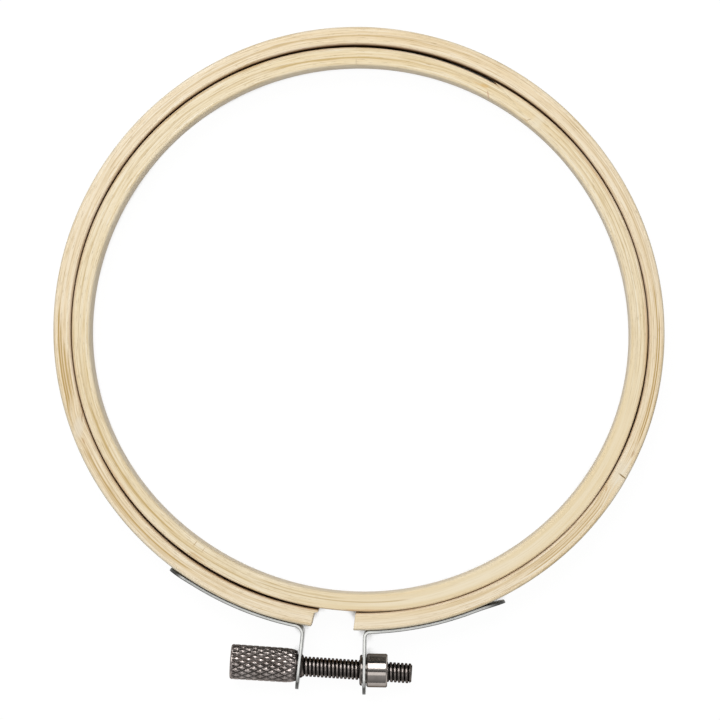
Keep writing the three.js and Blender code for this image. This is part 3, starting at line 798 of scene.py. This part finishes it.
def add_node(tree, kind, settings=None, values=None, links=None):
    """Adds one node, with its settings, its sockets' values, and links from other nodes' outputs."""
    node = tree.nodes.new(kind)
    for name, value in (settings or {}).items():
        setattr(node, name, value)
    for socket, value in (values or {}).items():
        node.inputs[socket].default_value = value
    for socket, output in (links or {}).items():
        tree.links.new(output, node.inputs[socket])
    return node


def new_material(name):
    """An empty material, its node tree and its output node."""
    material = bpy.data.materials.new(name)
    material.use_nodes = True
    material.node_tree.nodes.clear()
    return material, material.node_tree, material.node_tree.nodes.new("ShaderNodeOutputMaterial")


FACTOR, COLOUR_A, COLOUR_B, COLOUR_OUT = 0, 6, 7, 2  # sockets of a Mix node that mixes colours

PALE_BAND = "#f6efdf"
PALE_FIBRE = "#f8f1e2"
DARK_SPECK = "#a08355"
PAINTED_SHADE_DEPTH = 0.5 * MM  # a face's painted shade reaches that far into the wall
PAINTED_SHADE_AT_TOP = 0.4  # share of that painted shade at the upper side
PLAIN_FADE = 20 * MM
LINE_FADE = 5 * MM


def sanded_bamboo(name, wall, pale, warm, fibre, face_shades, plain, nodes, lines, marks):
    """Split bamboo, planed and sanded bare. The eye sees long fibres that run with the strip, a few of
    them orange brown, over a pale straw colour that drifts along the strip, with a soft satin sheen that
    the faces at the bore and outside lack. The pattern follows the field "grain": noise drawn long along
    it and narrow across it. The faces at the bore and outside get painted shade: a colour for each, with
    its share at the underside. plain is a stretch with fainter grain: (from angle, to angle, share of the
    contrast that it lacks). nodes are joints of the bamboo, where the fibres swerve: (angle, sideways
    swerve). lines are single darker fibres: (place in the wall, from angle, to angle, strength). marks
    are spots where fibres cross or end, and a few long streaks of painted shade: (angle, place in the
    wall, length, width, lean, colour, strength)."""
    material, tree, output = new_material(name)
    grain = add_node(tree, "ShaderNodeAttribute", {"attribute_name": "grain"}).outputs["Vector"]
    parts = add_node(tree, "ShaderNodeSeparateXYZ", links={0: grain}).outputs

    def math_of(operation, values=None, links=None):
        """Result of one arithmetic step."""
        return add_node(tree, "ShaderNodeMath", {"operation": operation}, values, links).outputs[0]

    def ramp(value, low, high, start=0.0, end=1.0):
        """A smooth step: start where the value is at low, end where it is at high."""
        return add_node(tree, "ShaderNodeMapRange", {"interpolation_type": "SMOOTHSTEP"},
                        {"From Min": low, "From Max": high, "To Min": start, "To Max": end},
                        {"Value": value}).outputs[0]

    def tint(base, colour, share):
        """The base mixed with that share of the colour."""
        return add_node(tree, "ShaderNodeMix", {"data_type": "RGBA"}, {COLOUR_B: linear(colour)},
                        {FACTOR: share, COLOUR_A: base}).outputs[COLOUR_OUT]

    def stretched(place, length, width, detail, rough):
        """Noise whose blobs have that length along the strip and that width across it."""
        scaled = add_node(tree, "ShaderNodeVectorMath", {"operation": "MULTIPLY"},
                          {1: (1 / length, 1 / width, 1 / width)}, {0: place}).outputs[0]
        return add_node(tree, "ShaderNodeTexNoise", {},
                        {"Scale": 1.0, "Detail": detail, "Roughness": rough},
                        {"Vector": scaled}).outputs["Fac"]

    # Where a fibre lies across the wall wanders a little, and swerves round each joint of the bamboo
    wander = stretched(grain, 30 * MM, 30 * MM, 1.0, 0.5)
    place = math_of("MULTIPLY_ADD", {1: 0.4 * MM, 2: -0.2 * MM}, {0: wander})
    place = math_of("ADD", links={0: parts["Y"], 1: place})
    for angle, swerve in nodes:
        off = math_of("SUBTRACT", {1: math.radians(angle) * GRAIN_RADIUS}, {0: parts["X"]})
        near = ramp(math_of("ABSOLUTE", links={0: off}), 6 * MM, 0.5 * MM, 0.0, swerve)
        place = math_of("ADD", links={0: place, 1: near})
    deep = math_of("MULTIPLY_ADD", {1: FIBRE_FLATNESS, 2: (1 - FIBRE_FLATNESS) * RING_HEIGHT},
                   {0: parts["Z"]})
    swayed = add_node(tree, "ShaderNodeCombineXYZ", links={0: parts["X"], 1: place, 2: deep}).outputs[0]

    # Wide bands, fine fibres and short specks, all fainter on the plain stretch
    drift = stretched(swayed, 60 * MM, 1.3 * MM, 2.0, 0.5)
    plain_start, plain_end = (math.radians(angle) * GRAIN_RADIUS for angle in plain[:2])
    plain_here = math_of("MULTIPLY", links={0: ramp(parts["X"], plain_start, plain_start + PLAIN_FADE),
                                            1: ramp(parts["X"], plain_end, plain_end - PLAIN_FADE)})
    contrast = math_of("MULTIPLY_ADD", {1: -plain[2], 2: 1.0}, {0: plain_here})

    def grain_noise(length, width, detail, rough):
        """Stretched noise that follows the fibres, its distance from one half times the contrast."""
        off_middle = math_of("SUBTRACT", {1: 0.5}, {0: stretched(swayed, length, width, detail, rough)})
        return math_of("MULTIPLY_ADD", {2: 0.5}, {0: off_middle, 1: contrast})

    bands = grain_noise(90 * MM, 0.5 * MM, 2.0, 0.6)
    fine = grain_noise(9 * MM, 0.2 * MM, 3.0, 0.65)
    specks = grain_noise(1.6 * MM, 0.16 * MM, 2.0, 0.6)
    base = add_node(tree, "ShaderNodeMix", {"data_type": "RGBA"},
                    {COLOUR_A: linear(pale), COLOUR_B: linear(warm)},
                    {FACTOR: ramp(drift, 0.3, 0.7)}).outputs[COLOUR_OUT]
    base = tint(base, fibre, ramp(bands, 0.52, 0.75, 0.0, 0.42))
    base = tint(base, PALE_BAND, ramp(bands, 0.44, 0.28, 0.0, 0.45))
    base = tint(base, fibre, ramp(fine, 0.5, 0.7, 0.0, 0.6))
    base = tint(base, PALE_FIBRE, ramp(fine, 0.46, 0.3, 0.0, 0.5))
    base = tint(base, DARK_SPECK, ramp(specks, 0.57, 0.74, 0.0, 0.45))

    for at, start, end, strength in lines:
        low, high = sorted(math.radians(angle) * GRAIN_RADIUS for angle in (start, end))
        off = math_of("ABSOLUTE", links={0: math_of("SUBTRACT", {1: at}, {0: place})})
        near = ramp(off, 0.22 * MM, 0.04 * MM, 0.0, strength)
        along = math_of("MULTIPLY", links={0: ramp(parts["X"], low, low + LINE_FADE),
                                           1: ramp(parts["X"], high, high - LINE_FADE)})
        base = tint(base, fibre, math_of("MULTIPLY", links={0: near, 1: along}))

    # A spot is an ellipsoid in the grain, and noise makes its edge ragged
    ragged = stretched(grain, 1.5 * MM, 0.4 * MM, 3.0, 0.6)
    for angle, at, length, width, lean, colour, strength in marks:
        middle = (math.radians(angle) * GRAIN_RADIUS, at, RING_HEIGHT)
        local = add_node(tree, "ShaderNodeMapping", {"vector_type": "TEXTURE"},
                         {"Location": middle, "Rotation": (0, 0, math.radians(lean)),
                          "Scale": (length / 2, width / 2, RING_HEIGHT)}, {"Vector": grain}).outputs[0]
        far = add_node(tree, "ShaderNodeVectorMath", {"operation": "LENGTH"},
                       links={0: local}).outputs["Value"]
        edge = math_of("ADD", links={0: far, 1: ragged})
        base = tint(base, colour, ramp(edge, 1.85, 0.95, 0.0, strength))

    # The faces at the bore and outside get a colour of painted shade, with more of it towards the
    # underside, and are duller
    at_bore = ramp(parts["Y"], PAINTED_SHADE_DEPTH, 0.0)
    at_outside = ramp(parts["Y"], wall - PAINTED_SHADE_DEPTH, wall)
    for (colour, below), near in zip(face_shades, (at_bore, at_outside)):
        shade_share = math_of("MULTIPLY_ADD", {1: (PAINTED_SHADE_AT_TOP - below) / RING_HEIGHT, 2: below}, {0: parts["Z"]})
        base = tint(base, colour, math_of("MULTIPLY", links={0: near, 1: shade_share}))
    dull = math_of("ADD", links={0: at_bore, 1: at_outside})

    relief = add_node(tree, "ShaderNodeBump", {}, {"Strength": 0.4, "Distance": 0.05 * MM},
                      {"Height": fine})
    shader = add_node(tree, "ShaderNodeBsdfPrincipled", {}, {"IOR": 1.5},
                      {"Base Color": base, "Roughness": ramp(bands, 0.0, 1.0, 0.48, 0.7),
                       "Specular IOR Level": ramp(dull, 0.0, 1.0, 0.5, 0.05), "Normal": relief.outputs[0]})
    tree.links.new(shader.outputs[0], output.inputs[0])
    return material


CLOUD_SIZE = 2.5 * MM  # of the faint clouds in the plating


def plated_metal(name, colour, shade, roughness, grit, relief, low=None, full_colour_from=0.9, rim="#ffffff",
                 dents=0.01 * MM):
    """Steel with a thin plating. The eye sees a clean metal sheen, broken by faint clouds and fine
    scratches of the grit's size, as deep as dents says. Where a piece has its point field of tone and
    painted shade, it has the low colour at 0 as painted shade, such as in its grooves or at its cut tips,
    and its own colour from the full value up; on a strip's broad faces the field only darkens the tone.
    rim dims what it reflects at a grazing angle."""
    material, tree, output = new_material(name)
    place = add_node(tree, "ShaderNodeTexCoord").outputs["Object"]
    clouds = add_node(tree, "ShaderNodeTexNoise", {}, {"Scale": 1 / CLOUD_SIZE, "Detail": 3.0},
                      {"Vector": place})
    scratches = add_node(tree, "ShaderNodeTexNoise", {},
                         {"Scale": 1 / grit, "Detail": 4.0, "Roughness": 0.65}, {"Vector": place})
    cloudy = add_node(tree, "ShaderNodeMapRange", {}, {"From Min": 0.35, "From Max": 0.65},
                      {"Value": clouds.outputs["Fac"]})
    base = add_node(tree, "ShaderNodeMix", {"data_type": "RGBA"},
                    {COLOUR_A: linear(colour), COLOUR_B: linear(shade)}, {FACTOR: cloudy.outputs[0]})
    # Painted shade: the low colour, where the point field is low
    if low:
        tone_and_painted_shade = add_node(tree, "ShaderNodeAttribute", {"attribute_name": "tone_and_painted_shade"}).outputs["Fac"]
        depth = add_node(tree, "ShaderNodeMapRange", {},
                         {"From Min": 0.0, "From Max": full_colour_from, "To Min": 0.95, "To Max": 0.0},
                         {"Value": tone_and_painted_shade})
        base = add_node(tree, "ShaderNodeMix", {"data_type": "RGBA"}, {COLOUR_B: linear(low)},
                        {FACTOR: depth.outputs[0], COLOUR_A: base.outputs[COLOUR_OUT]})
    rough = add_node(tree, "ShaderNodeMapRange", {},
                     {"To Min": roughness * 0.75, "To Max": roughness * 1.25},
                     {"Value": scratches.outputs["Fac"]})
    bump = add_node(tree, "ShaderNodeBump", {}, {"Strength": relief, "Distance": dents},
                    {"Height": scratches.outputs["Fac"]})
    shader = add_node(tree, "ShaderNodeBsdfPrincipled", {},
                      {"Metallic": 1.0, "Specular Tint": linear(rim)},
                      {"Base Color": base.outputs[COLOUR_OUT], "Roughness": rough.outputs[0],
                       "Normal": bump.outputs[0]})
    tree.links.new(shader.outputs[0], output.inputs[0])
    return material


def make_floor():
    """A large pale floor. What looks at it straight or in a reflection sees it nearly white, with a faint
    shadow, partly real and partly painted shade from ambient occlusion, which also makes it dark in narrow
    places such as the gap between the rings."""
    material, tree, output = new_material("pale_floor")
    ray = add_node(tree, "ShaderNodeLightPath")
    seen = add_node(tree, "ShaderNodeMath", {"operation": "MAXIMUM"},
                    links={0: ray.outputs["Is Camera Ray"], 1: ray.outputs["Is Glossy Ray"]})
    seen = add_node(tree, "ShaderNodeMath", {"operation": "MAXIMUM"},
                    links={0: seen.outputs[0], 1: ray.outputs["Is Transmission Ray"]})
    # Painted shade: the glow fades where ambient occlusion finds the place narrow
    open_to = add_node(tree, "ShaderNodeAmbientOcclusion", {"samples": 8}, {"Distance": SHADE_REACH})
    clear = add_node(tree, "ShaderNodeMapRange", {},
                     {"From Min": SHADE_FROM, "From Max": SHADE_TO, "To Max": FLOOR_GLOW_SHARE},
                     {"Value": open_to.outputs["AO"]})
    share = add_node(tree, "ShaderNodeMath", {"operation": "MULTIPLY"},
                     links={0: seen.outputs[0], 1: clear.outputs[0]})
    matt = add_node(tree, "ShaderNodeBsdfDiffuse", {}, {"Color": linear("#f4f4f2")})
    bright = add_node(tree, "ShaderNodeEmission", {}, {"Color": (1, 1, 1, 1), "Strength": FLOOR_GLOW})
    mixed = add_node(tree, "ShaderNodeMixShader", {}, {},
                     {0: share.outputs[0], 1: matt.outputs[0], 2: bright.outputs[0]})
    tree.links.new(mixed.outputs[0], output.inputs[0])
    corners = np.array([(-1, -1, 0), (1, -1, 0), (1, 1, 0), (-1, 1, 0)]) * FLOOR_HALF - (0, 0, FLOOR_DROP)
    mesh = bpy.data.meshes.new("floor")
    mesh.from_pydata(corners, [], [(0, 1, 2, 3)])
    mesh.materials.append(material)
    floor = bpy.data.objects.new("floor", mesh)
    bpy.context.scene.collection.objects.link(floor)


def make_light():
    """A plain sky, pale overhead and darker towards the horizon, straight above and on the side away from
    the clamp, a large soft lamp that leans over from that side, and a weak one opposite."""
    world = bpy.data.worlds.new("studio")
    world.use_nodes = True
    tree = world.node_tree
    tree.nodes.clear()
    way = add_node(tree, "ShaderNodeTexCoord").outputs["Generated"]
    parts = add_node(tree, "ShaderNodeSeparateXYZ", links={0: way})
    level = add_node(tree, "ShaderNodeMapRange", {},
                     {"From Min": 0.0, "From Max": 1.0, "To Min": SKY_AT_HORIZON, "To Max": SKY_OVERHEAD},
                     {"Value": parts.outputs["Z"]})
    spot = add_node(tree, "ShaderNodeMapRange", {},
                    {"From Min": math.cos(DARK_SPOT), "From Max": 1.0, "To Min": 1.0, "To Max": 0.0},
                    {"Value": parts.outputs["Z"]})
    far_side = add_node(tree, "ShaderNodeMapRange", {"interpolation_type": "SMOOTHSTEP"},
                        {"From Min": SKY_FAR_SIDE_FROM, "From Max": SKY_FAR_SIDE_TO,
                         "To Min": 1.0, "To Max": SKY_FAR_SIDE}, {"Value": parts.outputs["Y"]})
    strength = add_node(tree, "ShaderNodeMath", {"operation": "MULTIPLY"},
                        links={0: level.outputs[0], 1: spot.outputs[0]})
    strength = add_node(tree, "ShaderNodeMath", {"operation": "MULTIPLY"},
                        links={0: strength.outputs[0], 1: far_side.outputs[0]})
    sky = add_node(tree, "ShaderNodeBackground", {}, {"Color": linear("#fdfeff")},
                   {"Strength": strength.outputs[0]})
    output = add_node(tree, "ShaderNodeOutputWorld")
    tree.links.new(sky.outputs[0], output.inputs[0])
    bpy.context.scene.world = world

    for number, lamp in enumerate(LAMPS, start=1):
        wide, tall = lamp["size"]
        data = bpy.data.lights.new(f"soft_lamp_{number}", "AREA")
        data.shape = "RECTANGLE"
        data.size, data.size_y = wide, tall
        data.energy = lamp["brightness"] * wide * tall * math.pi
        holder = bpy.data.objects.new(f"soft_lamp_{number}", data)
        out = math.sin(lamp["off_zenith"])
        holder.location = (out * math.cos(lamp["towards"]), out * math.sin(lamp["towards"]),
                           math.cos(lamp["off_zenith"]))
        holder.rotation_euler = (-holder.location).to_track_quat("-Z", "Y").to_euler()
        bpy.context.scene.collection.objects.link(holder)


def make_camera():
    """Looks down at the hoop. The lens makes the picture's width come out at the height of the upper
    face."""
    data = bpy.data.cameras.new("camera")
    data.sensor_width = SENSOR_WIDTH
    data.clip_start = 10 * MM
    data.clip_end = 20.0
    camera = bpy.data.objects.new("camera", data)
    camera.location = (*CAMERA_OVER, RING_HEIGHT + CAMERA_HEIGHT)
    sight = Vector((*LOOKS_AT, RING_HEIGHT)) - camera.location
    data.lens = SENSOR_WIDTH * sight.length / PICTURE_WIDTH
    tilt = Vector((0, 0, -1)).rotation_difference(sight)
    camera.rotation_euler = (tilt @ Quaternion((0, 0, 1), CAMERA_ROLL)).to_euler()
    bpy.context.scene.collection.objects.link(camera)
    bpy.context.scene.camera = camera


# Grain of the two rings: joints of the bamboo, single darker fibres and spots. Angles are in degrees, and
# places in the wall are measured from the bore
OUTER_NODES = [(-27.5, 0.45 * MM), (202, -0.5 * MM)]
OUTER_LINES = [
    (2.3 * MM, -21, 9, 1.0),
    (1.85 * MM, -20, 14, 0.85),
    (2.15 * MM, 6, 54, 0.4),
    (1.7 * MM, 12, 52, 0.3),
    (0.6 * MM, -12, 22, 0.3),
    (3.15 * MM, -52, -30, 0.4),
    (3.15 * MM, -14, 4, 0.35),
    (2.05 * MM, -54, -29, 0.7),
    (1.5 * MM, -52, -29, 0.65),
    (0.7 * MM, -56, -29, 0.4),
    (2.2 * MM, -87, -60, 0.2),
    (1.75 * MM, 83, 152, 0.4),
    (2.1 * MM, 68, 92, 0.3),
    (2.9 * MM, 58, 82, 0.25),
    (1.5 * MM, 148, 178, 0.3),
    (2.35 * MM, 177, 202, 0.95),
    (1.9 * MM, 180, 201, 0.9),
    (1.35 * MM, 184, 200, 0.9),
    (0.75 * MM, 186, 199, 0.8),
    (1.85 * MM, 205, 240, 0.85),
    (1.2 * MM, 207, 227, 0.35),
    (2.5 * MM, 214, 237, 0.3),
    (1.05 * MM, 236, 262, 0.3),
]
OUTER_MARKS = [
    (-25, 1.75 * MM, 6.0 * MM, 3.3 * MM, 0, "#ece1ca", 0.6),
    (-25.3, 2.4 * MM, 0.3 * MM, 2.0 * MM, 8, "#86682f", 0.95),
    (-20.7, 2.25 * MM, 1.8 * MM, 0.4 * MM, 0, "#b08750", 0.6),
    (-29.0, 0.8 * MM, 1.4 * MM, 0.5 * MM, -25, "#c99c60", 0.5),
    (203, 1.8 * MM, 4.8 * MM, 2.0 * MM, 25, "#e8dcc6", 0.6),
    (201.2, 0.45 * MM, 2.6 * MM, 0.22 * MM, 18, "#9a6e3e", 0.75),
    (205.8, 1.85 * MM, 1.6 * MM, 0.4 * MM, 0, "#b98e58", 0.55),
]
INNER_LINES = [
    (2.4 * MM, 55, 87, 0.45),
    (1.7 * MM, 83, 114, 0.65),
    (2.05 * MM, 108, 152, 0.45),
    (2.35 * MM, 148, 178, 0.35),
    (1.9 * MM, 197, 234, 0.8),
    (2.35 * MM, 228, 254, 0.5),
    (1.75 * MM, 250, 286, 0.55),
    (1.1 * MM, 250, 272, 0.4),
    (1.65 * MM, 352, 396, 0.25),
    (1.45 * MM, 388, 413, 0.3),
    (0.45 * MM, 56, 64, 0.4),
    (0.35 * MM, 66, 74, 0.3),
]
INNER_MARKS = [
    (66.3, 2.2 * MM, 1.9 * MM, 0.8 * MM, -8, "#d7a855", 0.5),
    (67.4, 2.0 * MM, 3.6 * MM, 0.45 * MM, 0, "#d2aa62", 0.4),
    (64.8, 0.75 * MM, 1.9 * MM, 0.4 * MM, 50, "#c49a78", 0.65),
    (413, 1.9 * MM, 2.4 * MM, 3.0 * MM, 0, "#ebe0c8", 0.4),
    (414.6, 1.0 * MM, 1.1 * MM, 0.26 * MM, -55, "#a9844f", 0.65),
    (55.2, 0.5 * MM, 1.5 * MM, 0.25 * MM, 0, "#b8935e", 0.5),
    (94.2, 1.0 * MM, 0.3 * MM, 1.3 * MM, 0, "#c8b088", 0.45),
    (236.4, 1.0 * MM, 0.25 * MM, 1.5 * MM, 0, "#bb9862", 0.65),
    (238.6, 1.1 * MM, 0.22 * MM, 1.4 * MM, 0, "#bb9862", 0.55),
    (237.5, 1.0 * MM, 2.0 * MM, 1.4 * MM, 0, "#ebe0c8", 0.2),
    (238.5, 3.0 * MM, 4.5 * MM, 0.6 * MM, 0, "#c79a50", 0.45),
    # Painted shade: four long orange streaks along the outer edge, at the gap between the rings
    (216, 3.4 * MM, 11 * MM, 0.5 * MM, 0, "#cf9f60", 0.4),
    (275, 3.45 * MM, 10 * MM, 0.45 * MM, 0, "#cf9f60", 0.45),
    (363, 3.4 * MM, 14 * MM, 0.5 * MM, 0, "#cf9f60", 0.4),
    (397, 3.4 * MM, 16 * MM, 0.5 * MM, 0, "#cf9f60", 0.35),
]
# Painted shade on the faces of the bamboo strips, each a colour and its share at the underside: grey tones
# on the inner ring's bore and the outer ring's outside, and brown on the two faces that press on the cloth,
# as in the gap
BORE_PAINTED_SHADE = ("#cec2b0", 1.0)
OUTSIDE_PAINTED_SHADE = ("#c0b9a8", 1.0)
GAP_PAINTED_SHADE = ("#8a501c", 0.55)

make_camera()
make_floor()
make_light()

outer_bamboo = sanded_bamboo(
    "sanded_bamboo_outer", OUTER_WALL, pale="#f3e3c6", warm="#ead4ad", fibre="#b8944c",
    face_shades=(GAP_PAINTED_SHADE, OUTSIDE_PAINTED_SHADE), plain=(-95, -62, 0.4), nodes=OUTER_NODES, lines=OUTER_LINES,
    marks=OUTER_MARKS)
inner_bamboo = sanded_bamboo(
    "sanded_bamboo_inner", INNER_WALL, pale="#f1e2c3", warm="#e9d4aa", fibre="#ba9850",
    face_shades=(BORE_PAINTED_SHADE, GAP_PAINTED_SHADE), plain=(255, 362, 0.5), nodes=[], lines=INNER_LINES, marks=INNER_MARKS)
zinc_strip = plated_metal(
    "zinc_plated_strip", colour="#f0f0ec", shade="#dbdbd7", roughness=0.4, grit=0.25 * MM, relief=0.25,
    low="#2a2926", full_colour_from=0.6)
nickel_screw = plated_metal(
    "dark_nickel_screw", colour="#c0b6b1", shade="#a49a95", roughness=0.24, grit=0.2 * MM, relief=0.8,
    low="#1d1713", rim="#5d5753", dents=0.045 * MM)
nickel_nut = plated_metal(
    "dark_nickel_nut", colour="#b0a8a2", shade="#a39b95", roughness=0.12, grit=0.15 * MM, relief=0.12,
    low="#1d1713", rim="#5d5753")
nail_steel = plated_metal(
    "bright_nail_steel", colour="#c4c3be", shade="#aeada8", roughness=0.3, grit=0.2 * MM, relief=0.2)

make_outer_ring(outer_bamboo)
make_inner_ring(inner_bamboo)
make_bracket("left", NECK_RADIUS + NECK_CLEARANCE, "left_clamp", zinc_strip)
make_bracket("right", SPIGOT_RADIUS + SPIGOT_CLEARANCE, "outer", zinc_strip)
make_nails("left", "left_clamp", nail_steel)
make_nails("right", "outer", nail_steel)
make_screw_head(nickel_screw)
make_screw_shank(nickel_screw)
make_nut(nickel_nut)

bpy.context.scene.view_settings.view_transform = "Standard"
